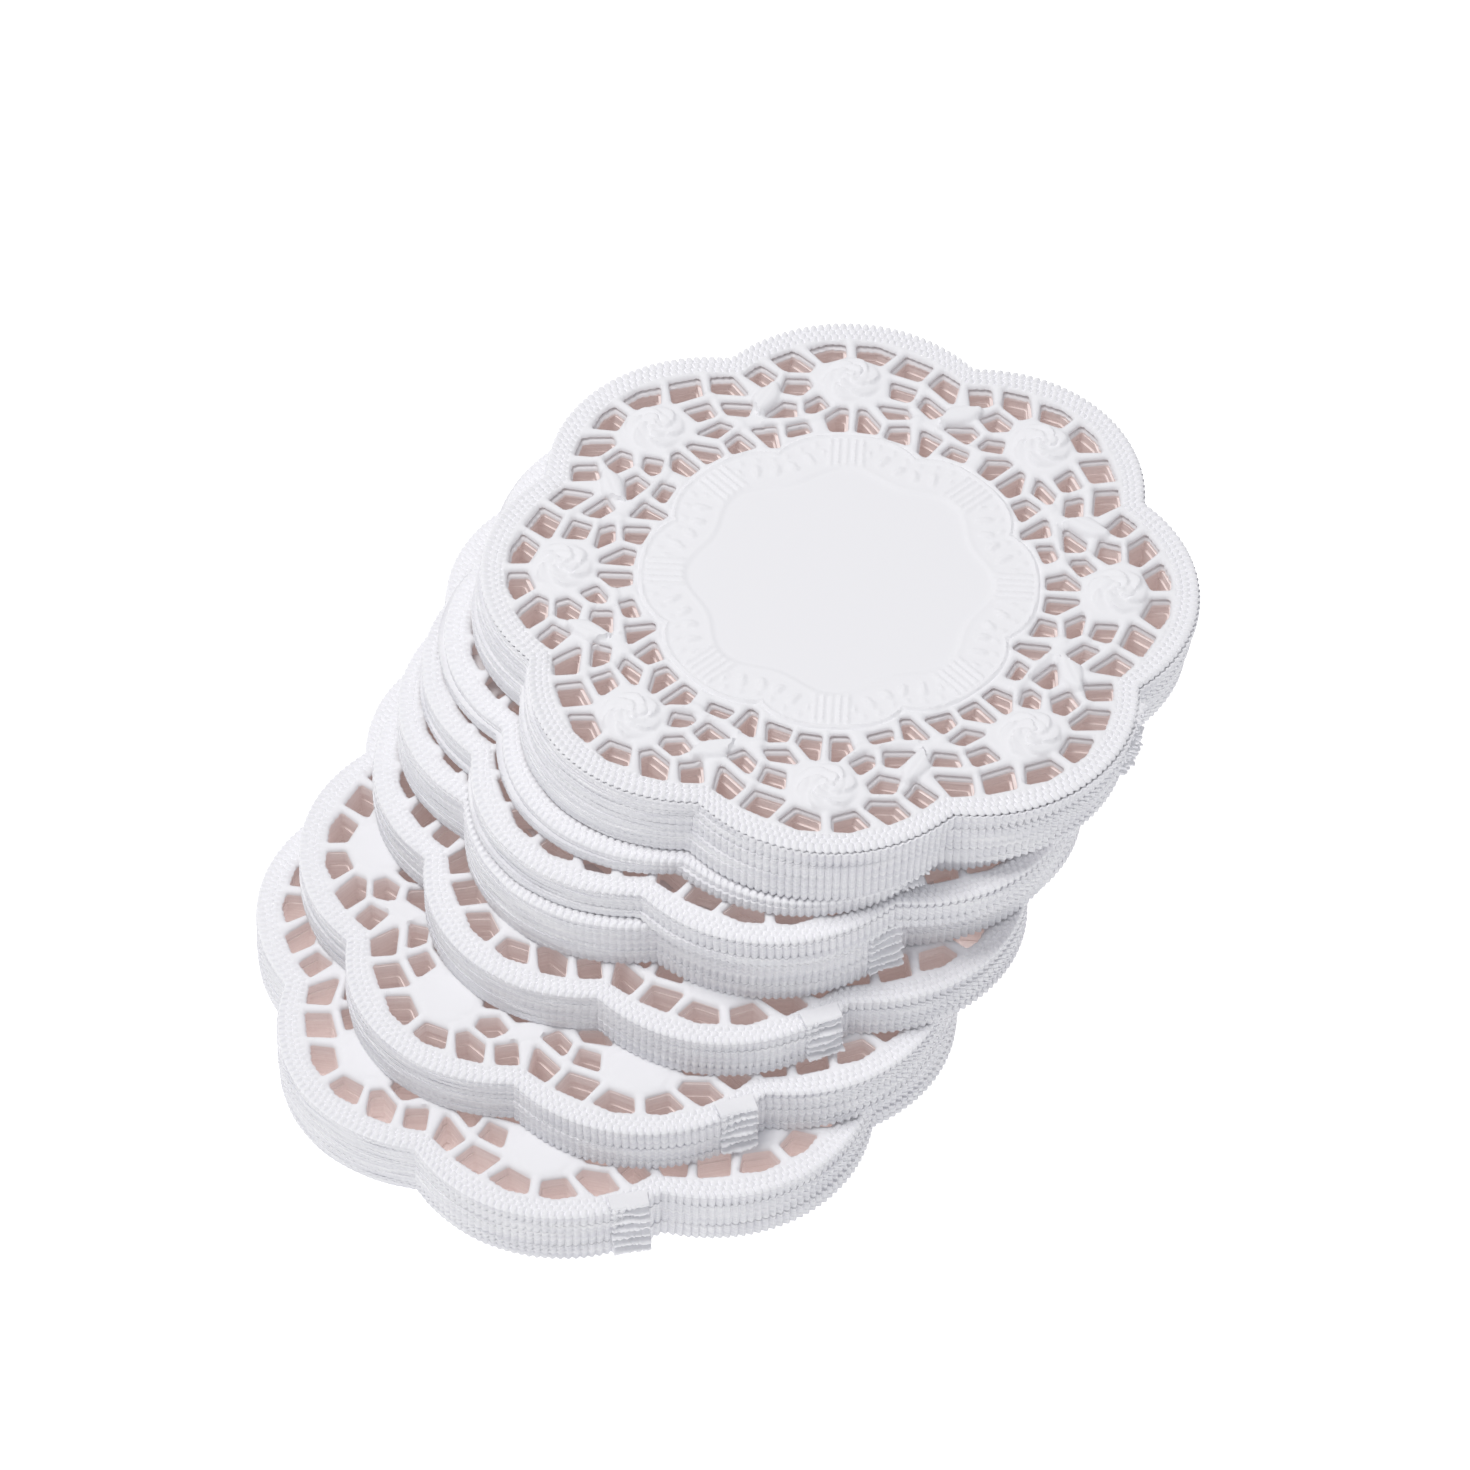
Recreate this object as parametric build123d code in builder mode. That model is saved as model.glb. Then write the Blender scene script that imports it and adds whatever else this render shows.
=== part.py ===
"""A fanned stack of round paper lace doilies, pushed over so that it leans back and to the right."""
from build123d import *
import math
import os

# ---------------------------------------------------------------- one doily
# All sizes are in millimetres. +Z is up, and the origin is the centre of the
# lowest doily, on the surface that the stack stands on.
lobe_count = 8
lobe_reach = 51.0
scallop_depth = 4.7
notch_round = 1.6
rim_width = 4.0
net_inner_radius = 27.4
strut_relief = 0.38

# The stack is pressed and die-cut a few sheets at a time. Each of these lifts
# stays nested together, and a hair of air parts it from the next one.
lift_air = 0.1

# The nick tab is the flap that held a lift to the waste sheet beside a notch.
tab_width = 5.6
tab_reach = 2.4
tab_sink = 2.0
tab_side_step = 4.8

# The single sheet on top. It is as thick as its raised lace stands.
top_sheet_thickness = 0.5

# ---------------------------------------------------------------- the blocks
# From the surface up: name, height, number of lifts, how far the block has
# slid from the one below it (right, back), its turn about +Z in degrees, how
# many lobes its nick tabs are turned clockwise, and how far each lift trails
# the one above.
blocks = [
    ("lowest", 9.8, 7, (0.0, 0.0), -11.4, 3, (0.0, 0.0)),
    ("second", 8.1, 6, (6.85, 9.0), -1.8, 3, (0.0, 0.0)),
    ("third", 7.6, 6, (10.15, 10.45), -0.3, 3, (0.0, 0.0)),
    ("fourth", 8.5, 6, (3.3, 7.35), 6.3, 3, (0.0, 0.0)),
    ("fifth", 5.3, 4, (3.9, -0.9), -1.6, 2, (-0.15, 0.0)),
    ("sixth", 3.2, 2, (2.8, 4.8), 2.2, 3, (-0.9, -0.3)),
    ("upper", 9.9, 7, (5.3, 0.2), -2.3, 2, (-0.3, 0.0)),
]
# Lifts aren't stacked perfectly: each one wanders a little round its block.
lift_wander = 0.22
lift_twist = 0.25

# ---------------------------------------------------------------- lace net
# The openings of one eighth of the net, which repeats round the doily. The
# rose stands on the +Y line, and x runs to the right of it. The corners are
# drawn for a net between these two radii, and net_point moves them to the
# radii of the doily.
drawn_inner_radius = 28.0
drawn_outer_radius = 48.0
openings = [
    # along the rim
    [(-6.2, 46.6), (-3.6, 47.8), (-1.5, 47.8), (-1.3, 45.4), (-4.1, 44.2)],
    [(0.8, 47.8), (3.6, 47.7), (6.2, 46.4), (4.2, 44.1), (1.0, 45.4)],
    [(8.2, 45.8), (11.8, 44.0), (10.0, 41.2), (6.0, 42.6)],
    [(13.6, 42.7), (15.8, 41.0), (15.1, 36.8), (11.8, 40.3)],
    [(-9.0, 46.0), (-5.8, 43.3), (-6.4, 42.1), (-9.7, 42.0), (-11.8, 44.3)],
    [(-13.7, 42.7), (-11.3, 40.7), (-12.7, 38.4), (-15.6, 40.7)],
    # beside the rose
    [(6.2, 40.3), (9.5, 39.1), (8.7, 36.7), (6.2, 37.5)],
    [(11.2, 37.7), (14.1, 34.8), (12.2, 33.6), (10.4, 35.7)],
    [(4.5, 35.5), (8.2, 35.0), (9.0, 33.4), (6.0, 33.2)],
    [(-9.4, 40.2), (-6.6, 40.3), (-6.0, 39.0), (-7.4, 37.2), (-10.0, 37.7)],
    [(-4.6, 36.9), (-3.3, 35.0), (-5.3, 33.6), (-6.2, 33.8), (-6.3, 35.4)],
    [(-9.7, 35.3), (-8.2, 35.1), (-8.0, 32.7), (-12.2, 32.4)],
    # along the medallion
    [(-1.3, 34.6), (-0.5, 34.6), (-0.4, 30.3), (-2.4, 30.2), (-3.2, 32.6)],
    [(1.6, 34.6), (2.3, 34.4), (4.4, 31.5), (4.0, 30.0), (1.4, 30.3)],
    [(6.3, 31.3), (8.7, 31.5), (8.8, 28.1), (5.7, 29.3)],
    [(11.0, 30.8), (13.6, 29.0), (11.5, 25.8), (10.7, 26.5)],
    [(15.3, 27.7), (17.6, 26.6), (17.1, 25.0), (14.1, 26.3)],
]

# ---------------------------------------------------------------- derived
lobe_angle = 360.0 / lobe_count
notch_radius = lobe_reach - scallop_depth
net_outer_radius = lobe_reach - rim_width

os.makedirs("parts", exist_ok=True)


def on_circle(radius, degrees):
    """A point at a radius and a direction, counted anticlockwise from +X."""
    turn = math.radians(degrees)
    return (radius * math.cos(turn), radius * math.sin(turn))


def net_point(x, y):
    """Moves a drawn corner in or out along its own direction, to the radii of the doily."""
    drawn = math.hypot(x, y)
    share = (drawn - drawn_inner_radius) / (drawn_outer_radius - drawn_inner_radius)
    real = net_inner_radius + share * (net_outer_radius - net_inner_radius)
    return (x * real / drawn, y * real / drawn)


def seat(place, height, turn):
    """The plane that a doily lies in, with its own +X turned about +Z."""
    toward = on_circle(1.0, turn)
    return Plane(origin=(place[0], place[1], height), x_dir=(toward[0], toward[1], 0))


# The scalloped outline, one arc for each lobe, with its notches rounded.
with BuildSketch() as outline:
    with BuildLine():
        for lobe in range(lobe_count):
            middle = 90.0 - lobe * lobe_angle
            start = on_circle(notch_radius, middle - lobe_angle / 2)
            crown = on_circle(lobe_reach, middle)
            end = on_circle(notch_radius, middle + lobe_angle / 2)
            ThreePointArc(start, crown, end)
    make_face()
    fillet(outline.vertices(), radius=notch_round)

# One eighth of the net's openings, each cut back by the relief of its struts.
with BuildSketch() as net_eighth:
    for corners in openings:
        Polygon(*[net_point(x, y) for x, y in corners], align=None)
    offset(amount=strut_relief, kind=Kind.INTERSECTION)

# The lace of one doily: the outline with every opening cut out.
with BuildSketch() as lace:
    add(outline.sketch)
    with PolarLocations(0, lobe_count):
        add(net_eighth.sketch, mode=Mode.SUBTRACT)


# The profile of a lift: the lace and its nick tab, beside the notch to the right of the +Y lobe.
with BuildSketch() as lift_profile:
    add(lace.sketch)
    with Locations(Location((0, 0), 90.0 - lobe_angle / 2)):
        with Locations((notch_radius + (tab_reach - tab_sink) / 2, -tab_side_step)):
            Rectangle(tab_reach + tab_sink, tab_width)


def build_lift(name, place, height, turn, thickness):
    """One lift, as thick as its nested sheets, at its place in the stack."""
    with BuildPart() as lift:
        with BuildSketch(seat(place, height, turn)):
            add(lift_profile.sketch)
        extrude(amount=thickness)
    lift.part.label = name
    export_step(lift.part, "parts/" + name + ".step", write_pcurves=False)
    return lift


# ---------------------------------------------------------------- the lifts
stack_top = 0.0
middle_right = 0.0
middle_back = 0.0
for order, (block, height, lifts, slid, turn, tab_lobes, trail) in enumerate(blocks):
    middle_right += slid[0]
    middle_back += slid[1]
    lift_thickness = height / lifts - lift_air
    for number in range(lifts):
        below_top = lifts - 1 - number
        phase = 2.1 * number + 1.3 * order
        wander = 0.0 if order == number == 0 else lift_wander
        place = (
            middle_right + trail[0] * below_top + wander * math.sin(phase),
            middle_back + trail[1] * below_top + wander * math.cos(1.7 * phase),
        )
        lift_turn = turn - tab_lobes * lobe_angle + lift_twist * math.sin(2.9 * phase)
        level = stack_top + number * (lift_thickness + lift_air)
        name = block + "_block_lift_" + str(number + 1)
        build_lift(name, place, level, lift_turn, lift_thickness)
    stack_top += height

# ---------------------------------------------------------------- top doily
# The single sheet on top has the same lace, and its nick tab has torn away.
with BuildPart() as top_doily:
    with BuildSketch(seat((middle_right, middle_back), stack_top, blocks[-1][4])):
        add(lace.sketch)
    extrude(amount=top_sheet_thickness)
top_doily.part.label = "top_doily"
export_step(top_doily.part, "parts/top_doily.step", write_pcurves=False)
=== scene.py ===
"""A fanned stack of round paper lace doilies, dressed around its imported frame.

Each lift of pressed sheets becomes a closed paper mesh: a face of lace, the cut walls of
its outline and its openings, and a flat underside. The lift on top of each block and the
single doily on top of the stack have the embossed relief of the paper as real geometry.
Lengths are in millimetres until a mesh is made, and directions are in radians,
anticlockwise from +X, unless a name says degrees.
"""
import logging
import math
from dataclasses import dataclass, field
from enum import Enum

import bpy
import numpy as np
from mathutils import Matrix, Vector
from mathutils.geometry import delaunay_2d_cdt


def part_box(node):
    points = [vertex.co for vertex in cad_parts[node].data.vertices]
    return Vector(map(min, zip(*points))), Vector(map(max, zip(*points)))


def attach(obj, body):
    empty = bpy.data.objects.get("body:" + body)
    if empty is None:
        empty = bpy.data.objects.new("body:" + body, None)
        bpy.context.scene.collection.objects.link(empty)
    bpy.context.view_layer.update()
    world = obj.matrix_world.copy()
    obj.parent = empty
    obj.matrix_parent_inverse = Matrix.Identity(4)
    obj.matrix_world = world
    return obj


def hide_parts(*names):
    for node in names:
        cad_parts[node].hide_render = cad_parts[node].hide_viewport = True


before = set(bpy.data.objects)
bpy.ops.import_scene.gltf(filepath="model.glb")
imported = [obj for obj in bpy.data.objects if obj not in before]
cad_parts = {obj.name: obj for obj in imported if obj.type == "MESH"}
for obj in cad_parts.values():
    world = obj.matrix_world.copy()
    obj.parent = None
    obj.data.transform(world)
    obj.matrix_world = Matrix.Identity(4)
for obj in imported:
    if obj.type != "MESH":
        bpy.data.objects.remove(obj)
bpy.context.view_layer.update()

MM = 0.001
FULL_TURN = 2.0 * math.pi
SHARP_DEGREES = 48.0
BLOCK_SEEDS = 100
TAB_SEEDS = 50
TOP_SEED = 7

logging.basicConfig(level=logging.INFO, format="%(name)s: %(message)s")
log = logging.getLogger("doilies")


class Depth(Enum):
    """How much of a lift shows, and so how fine its face is."""

    CROWN = "the single doily on top"
    SHOWN = "the lift on top of a block"
    NESTED = "a lift under another"


@dataclass(frozen=True)
class Grain:
    """How far apart the points of one kind of face are, in millimetres.

    Attributes:
        side: along the sides of the openings.
        net: in the net.
        medallion: in the relief of the medallion.
        bands: how far from the openings the rows round them lie.
    """

    side: float
    net: float = 0.0
    medallion: float = 0.0
    bands: tuple = ()


GRAINS = {
    Depth.CROWN: Grain(0.27, 0.30, 0.36, (0.11, 0.29)),
    Depth.SHOWN: Grain(0.38, 0.37, 0.9, (0.16,)),
    Depth.NESTED: Grain(4.0),
}


# ------------------------------------------------------------------ helpers
def linear(hex_colour: str) -> tuple[float, float, float, float]:
    """Turns an sRGB hex colour into the linear colour that a shader reads.

    Args:
        hex_colour: six hex digits after a hash mark.

    Returns:
        Red, green, blue and an alpha of 1.
    """
    parts = [int(hex_colour[i:i + 2], 16) / 255.0 for i in (1, 3, 5)]
    curve = [c / 12.92 if c <= 0.04045 else ((c + 0.055) / 1.055) ** 2.4 for c in parts]
    return (curve[0], curve[1], curve[2], 1.0)


def add_node(tree: bpy.types.NodeTree, kind: str, settings: dict, links: dict) -> bpy.types.Node:
    """Adds one node, with its settings and what feeds it.

    Args:
        tree: the material's or world's node tree.
        kind: the node's type name.
        settings: properties by name, or socket values by index or socket name.
        links: the socket that feeds each input, by the input's index or name.

    Returns:
        The new node.
    """
    node = tree.nodes.new(kind)
    for name, value in settings.items():
        if isinstance(name, int) or name in node.inputs:
            node.inputs[name].default_value = value
        else:
            setattr(node, name, value)
    for name, source in links.items():
        tree.links.new(source, node.inputs[name])
    return node


def smooth_step(value: np.ndarray, low: float, high: float) -> np.ndarray:
    """Zero below low and one above high, with an even S between them."""
    t = np.clip((value - low) / (high - low), 0.0, 1.0)
    return t * t * (3.0 - 2.0 * t)


def dome(share: np.ndarray) -> np.ndarray:
    """A round dome: one at share 0 and zero from share 1 outwards."""
    return np.sqrt(np.clip(1.0 - share * share, 0.0, 1.0))


def ridge(distance: np.ndarray, width: float) -> np.ndarray:
    """A soft ridge: one on its line, and falling away as a bell of that half width."""
    return np.exp(-((distance / width) ** 2))


def turned(points: np.ndarray, turn: float) -> np.ndarray:
    """Turns points of the plane anticlockwise about the origin."""
    c, s = math.cos(turn), math.sin(turn)
    return points @ np.array([[c, s], [-s, c]])


def from_line(x: np.ndarray, y: np.ndarray, line: list[tuple[float, float]]) -> np.ndarray:
    """The distance from points to a line of straight runs.

    Args:
        x: the points' x.
        y: the points' y.
        line: the corners of the line, in order.

    Returns:
        The shortest distance from each point to any run.
    """
    nearest = np.full(np.shape(x), np.inf)
    for (ax, ay), (bx, by) in zip(line, line[1:]):
        dx, dy = bx - ax, by - ay
        along = np.clip(((x - ax) * dx + (y - ay) * dy) / (dx * dx + dy * dy), 0.0, 1.0)
        nearest = np.minimum(nearest, np.hypot(x - ax - along * dx, y - ay - along * dy))
    return nearest


# ------------------------------------------------------------------ the flat doily
@dataclass(frozen=True)
class DoilyOutline:
    """The scalloped outline of one doily, with a rose on +Y.

    Sizes are millimetres. Each lobe is an arc through two notches and its crown, and the
    beads of the border are struck at an even pitch round it.
    """

    lobes: int = 8
    reach: float = 51.0
    scallop: float = 4.7
    notch_ease_degrees: float = 0.45
    beads: int = 288
    flute: float = 0.36
    medallion_crown: float = 29.6
    medallion_scallop: float = 2.3

    @property
    def eighth(self) -> float:
        """The angle that one lobe takes up."""
        return FULL_TURN / self.lobes

    def from_crown(self, direction: np.ndarray) -> np.ndarray:
        """The angle from the crown of the nearest lobe, between minus and plus half a lobe."""
        return np.mod(direction - math.pi / 2 + self.eighth / 2, self.eighth) - self.eighth / 2

    def fold(self, x: np.ndarray, y: np.ndarray) -> tuple[np.ndarray, np.ndarray]:
        """Brings every point to the eighth whose rose is on +Y, because all eighths are alike.

        Args:
            x: the points' x.
            y: the points' y.

        Returns:
            The x and y of the points in that eighth.
        """
        r = np.hypot(x, y)
        a = self.from_crown(np.arctan2(y, x))
        return -r * np.sin(a), r * np.cos(a)

    def radius(self, direction: np.ndarray) -> np.ndarray:
        """The smooth outline's radius in a direction.

        The lobe is a circle of radius p about a point c along its axis, so its edge lies
        at c cos(a) + sqrt(p^2 - c^2 sin^2(a)) for an angle a from the axis. Near the notch
        the angle eases off, which rounds the notch.

        Args:
            direction: the directions from the doily's centre.

        Returns:
            The radius in each of them.
        """
        half = self.eighth / 2
        notch = self.reach - self.scallop
        c = (self.reach ** 2 - notch ** 2) / (2.0 * (self.reach - notch * math.cos(half)))
        p = self.reach - c
        ease = math.radians(self.notch_ease_degrees)
        left = half - np.abs(self.from_crown(direction))
        a = np.clip(half - np.sqrt(left * left + ease * ease), -half, half)
        return c * np.cos(a) + np.sqrt(p * p - (c * np.sin(a)) ** 2)

    def medallion_radius(self, direction: np.ndarray) -> np.ndarray:
        """The radius of the medallion's scalloped edge, with blunt notches between the lobes."""
        a = np.abs(self.from_crown(direction)) / (self.eighth / 2)
        return self.medallion_crown - self.medallion_scallop * a ** 3

    def flute_offset(self, steps: np.ndarray) -> np.ndarray:
        """How far the edge draws in, for a place counted in beads: round crests, sharp valleys."""
        across = np.mod(steps, 1.0) - 0.5
        return -self.flute * 4.0 * across * across


@dataclass(frozen=True)
class LaceOpenings:
    """The openings of the net: the same corners as the cut lace, with their corners rounded.

    The corners are those of one eighth, whose rose stands on +Y, drawn between two radii.
    """

    outline: DoilyOutline
    rim_width: float = 4.0
    net_inner_radius: float = 27.4
    drawn_inner_radius: float = 28.0
    drawn_outer_radius: float = 48.0
    strut_relief: float = 0.38
    corner_round: float = 0.5
    rim_bump: float = 0.22
    rim_zone: tuple = (4.2, 4.7)
    corners: tuple = (
        # along the rim
        ((-6.2, 46.6), (-3.6, 47.8), (-1.5, 47.8), (-1.3, 45.4), (-4.1, 44.2)),
        ((0.8, 47.8), (3.6, 47.7), (6.2, 46.4), (4.2, 44.1), (1.0, 45.4)),
        ((8.2, 45.8), (11.8, 44.0), (10.0, 41.2), (6.0, 42.6)),
        ((13.6, 42.7), (15.8, 41.0), (15.1, 36.8), (11.8, 40.3)),
        ((-9.0, 46.0), (-5.8, 43.3), (-6.4, 42.1), (-9.7, 42.0), (-11.8, 44.3)),
        ((-13.7, 42.7), (-11.3, 40.7), (-12.7, 38.4), (-15.6, 40.7)),
        # beside the rose
        ((6.2, 40.3), (9.5, 39.1), (8.7, 36.7), (6.2, 37.5)),
        ((11.2, 37.7), (14.1, 34.8), (12.2, 33.6), (10.4, 35.7)),
        ((4.5, 35.5), (8.2, 35.0), (9.0, 33.4), (6.0, 33.2)),
        ((-9.4, 40.2), (-6.6, 40.3), (-6.0, 39.0), (-7.4, 37.2), (-10.0, 37.7)),
        ((-4.6, 36.9), (-3.3, 35.0), (-5.3, 33.6), (-6.2, 33.8), (-6.3, 35.4)),
        ((-9.7, 35.3), (-8.2, 35.1), (-8.0, 32.7), (-12.2, 32.4)),
        # along the medallion
        ((-1.3, 34.6), (-0.5, 34.6), (-0.4, 30.3), (-2.4, 30.2), (-3.2, 32.6)),
        ((1.6, 34.6), (2.3, 34.4), (4.4, 31.5), (4.0, 30.0), (1.4, 30.3)),
        ((6.3, 31.3), (8.7, 31.5), (8.8, 28.1), (5.7, 29.3)),
        ((11.0, 30.8), (13.6, 29.0), (11.5, 25.8), (10.7, 26.5)),
        ((15.3, 27.7), (17.6, 26.6), (17.1, 25.0), (14.1, 26.3)),
    )

    def real_points(self, drawn: np.ndarray) -> np.ndarray:
        """Moves drawn points in or out along their own direction, to the doily's radii.

        Args:
            drawn: rows of x and y, as the corners are drawn.

        Returns:
            The points on the real doily.
        """
        r = np.hypot(drawn[:, 0], drawn[:, 1])
        share = (r - self.drawn_inner_radius) / (self.drawn_outer_radius - self.drawn_inner_radius)
        outer = self.outline.reach - self.rim_width
        real = self.net_inner_radius + share * (outer - self.net_inner_radius)
        return drawn * (real / r)[:, None]

    def cores(self) -> list[np.ndarray]:
        """The cores of one eighth's openings: an opening is its core swollen by corner_round.

        Returns:
            One array of corners for each opening, anticlockwise. Each side has moved out by
            the strut relief and back in by the rounding, and neighbours meet where they cross.
        """
        found = []
        shift = self.strut_relief - self.corner_round
        for corners in self.corners:
            p = self.real_points(np.array(corners))[::-1]
            side = np.roll(p, -1, axis=0) - p
            side /= np.linalg.norm(side, axis=1)[:, None]
            out = np.stack([side[:, 1], -side[:, 0]], axis=1)
            before = np.roll(out, 1, axis=0)
            mitre = (out + before) / (1.0 + np.sum(out * before, axis=1))[:, None]
            found.append(p + shift * mitre)
        return found

    def beaded(self, loop: np.ndarray) -> np.ndarray:
        """Moves a loop's side along the rim in, where the beads of the rim bulge over it.

        Args:
            loop: the points of an opening's outline.

        Returns:
            The points, drawn in under the beads.
        """
        r = np.hypot(loop[:, 0], loop[:, 1])
        direction = np.arctan2(loop[:, 1], loop[:, 0])
        along_rim = 1.0 - smooth_step(self.outline.radius(direction) - r, *self.rim_zone)
        across = np.mod(direction * self.outline.beads / FULL_TURN, 1.0) - 0.5
        bulge = self.rim_bump * along_rim * dome(2.0 * across)
        return loop * (1.0 - bulge / r)[:, None]

    def loops(self, spacing: float, swell: float = 0.0, beaded: bool = False) -> list[np.ndarray]:
        """The outlines of all the openings.

        Args:
            spacing: about how far apart the points of a side are.
            swell: how much larger than the cut opening the outline is.
            beaded: whether the beads of the rim bulge over their edge.

        Returns:
            Anticlockwise loops of points. Each is the core's sides moved out, and an arc of
            three points round each corner.
        """
        eighth_loops = []
        reach = self.corner_round + swell
        for core in self.cores():
            side = np.roll(core, -1, axis=0) - core
            length = np.linalg.norm(side, axis=1)
            along = side / length[:, None]
            out = np.stack([along[:, 1], -along[:, 0]], axis=1)
            before = np.roll(out, 1, axis=0)
            middle = out + before
            middle /= np.linalg.norm(middle, axis=1)[:, None]
            pieces = []
            for i in range(len(core)):
                pieces.append(core[i] + reach * np.stack([before[i], middle[i], out[i]]))
                steps = max(1, round(length[i] / spacing))
                share = np.arange(1, steps) / steps
                pieces.append(core[i] + reach * out[i] + share[:, None] * side[i])
            loop = np.concatenate(pieces)
            eighth_loops.append(self.beaded(loop) if beaded else loop)
        return [
            turned(loop, lobe * self.outline.eighth)
            for lobe in range(self.outline.lobes)
            for loop in eighth_loops
        ]

    def clearance(self, x: np.ndarray, y: np.ndarray, most: float = 3.0) -> np.ndarray:
        """How far points of the paper are from the nearest opening.

        Args:
            x: the points' x.
            y: the points' y.
            most: distances above this one are left at it.

        Returns:
            The distance to the nearest opening, and a negative number inside one. It is the
            distance to the nearest core, less the rounding.
        """
        fx, fy = self.outline.fold(x, y)
        best = np.full(np.shape(fx), most)
        for lobe in (-1, 0, 1):
            for core in self.cores():
                p = turned(core, lobe * self.outline.eighth)
                middle = p.mean(axis=0)
                size = np.linalg.norm(p - middle, axis=1).max() + most
                near = np.hypot(fx - middle[0], fy - middle[1]) < size
                if not near.any():
                    continue
                px, py = fx[near], fy[near]
                away = from_line(px, py, list(p) + [p[0]])
                inside = np.ones(px.shape, bool)
                for (ax, ay), (bx, by) in zip(p, np.roll(p, -1, axis=0)):
                    inside &= (bx - ax) * (py - ay) - (by - ay) * (px - ax) > 0.0
                signed = np.where(inside, -away, away) - self.corner_round
                best[near] = np.minimum(best[near], signed)
        return best


@dataclass(frozen=True)
class MedallionRelief:
    """The embossing of the medallion, in millimetres: depths count inwards from its edge.

    The pattern is a lip with a groove outside it, and then dashes, slanting drops and, on
    the axis of each rose, straight bars. The centre is plain and lies a step lower.
    """

    outline: DoilyOutline
    plain_level: float = 0.06
    lip_depth: float = 1.5
    lip_height: float = 0.26
    lip_width: float = 0.24
    groove_depth: float = 1.0
    groove_height: float = 0.16
    groove_width: float = 0.22
    axis_zone: tuple = (2.9, 3.3)
    dashes: float = 9.0
    dash_depth: float = 3.0
    dash_height: float = 0.2
    dash_size: tuple = (0.34, 0.7)
    drops: float = 7.0
    drop_depth: float = 5.3
    drop_height: float = 0.4
    drop_size: tuple = (0.5, 1.35)
    drop_lean: float = 0.42
    bar_pitch: float = 1.15
    bar_height: float = 0.3
    bar_width: float = 0.27
    bar_start: tuple = (1.9, 2.3)
    bar_end: tuple = (7.2, 7.6)
    bar_side: tuple = (2.6, 2.9)
    centre_radius: float = 20.7
    centre_wave: float = 1.1
    centre_step: float = 0.16
    centre_line: float = 0.08

    def along_ring(self, a: np.ndarray, r: np.ndarray, count: float) -> np.ndarray:
        """The distance round the ring to the nearest of so many marks in each eighth."""
        pitch = self.outline.eighth / count
        return (np.mod(a / pitch + 0.5, 1.0) - 0.5) * pitch * r

    def height(self, x: np.ndarray, y: np.ndarray) -> np.ndarray:
        """The height of the medallion, for points folded into the eighth of the +Y rose.

        Args:
            x: the points' x in that eighth.
            y: their y.

        Returns:
            The height: the sum of the soft ridges of the lip, the groove and the bars, and of the
            domes of the dashes and the drops, less the step of the centre.
        """
        r = np.hypot(x, y)
        a = np.arctan2(x, y)
        inner = self.outline.medallion_radius(math.pi / 2 - a) - r
        height = self.plain_level * smooth_step(-inner, -1.2, -0.4)
        height += self.lip_height * ridge(inner - self.lip_depth, self.lip_width)
        height -= self.groove_height * ridge(inner - self.groove_depth, self.groove_width)
        off_axis = smooth_step(np.abs(x), *self.axis_zone)
        across, reach = self.dash_size
        arc = self.along_ring(a, r, self.dashes)
        away = np.hypot(arc / across, (inner - self.dash_depth) / reach)
        height += self.dash_height * dome(away) * off_axis
        across, reach = self.drop_size
        beyond = inner - self.drop_depth
        lean = self.along_ring(a, r, self.drops) + self.drop_lean * np.sign(x) * beyond
        height += self.drop_height * dome(np.hypot(lean / across, beyond / reach)) * off_axis
        bar = np.abs(np.mod(x / self.bar_pitch + 0.5, 1.0) - 0.5) * self.bar_pitch
        length = smooth_step(inner, *self.bar_start) * (1.0 - smooth_step(inner, *self.bar_end))
        on_axis = 1.0 - smooth_step(np.abs(x), *self.bar_side)
        height += self.bar_height * ridge(bar, self.bar_width) * length * on_axis
        centre = self.centre_radius + self.centre_wave * np.cos(self.outline.lobes * a) - r
        height -= self.centre_step * smooth_step(centre, -0.3, 0.3)
        return height + self.centre_line * ridge(centre + 0.5, 0.3)


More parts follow.
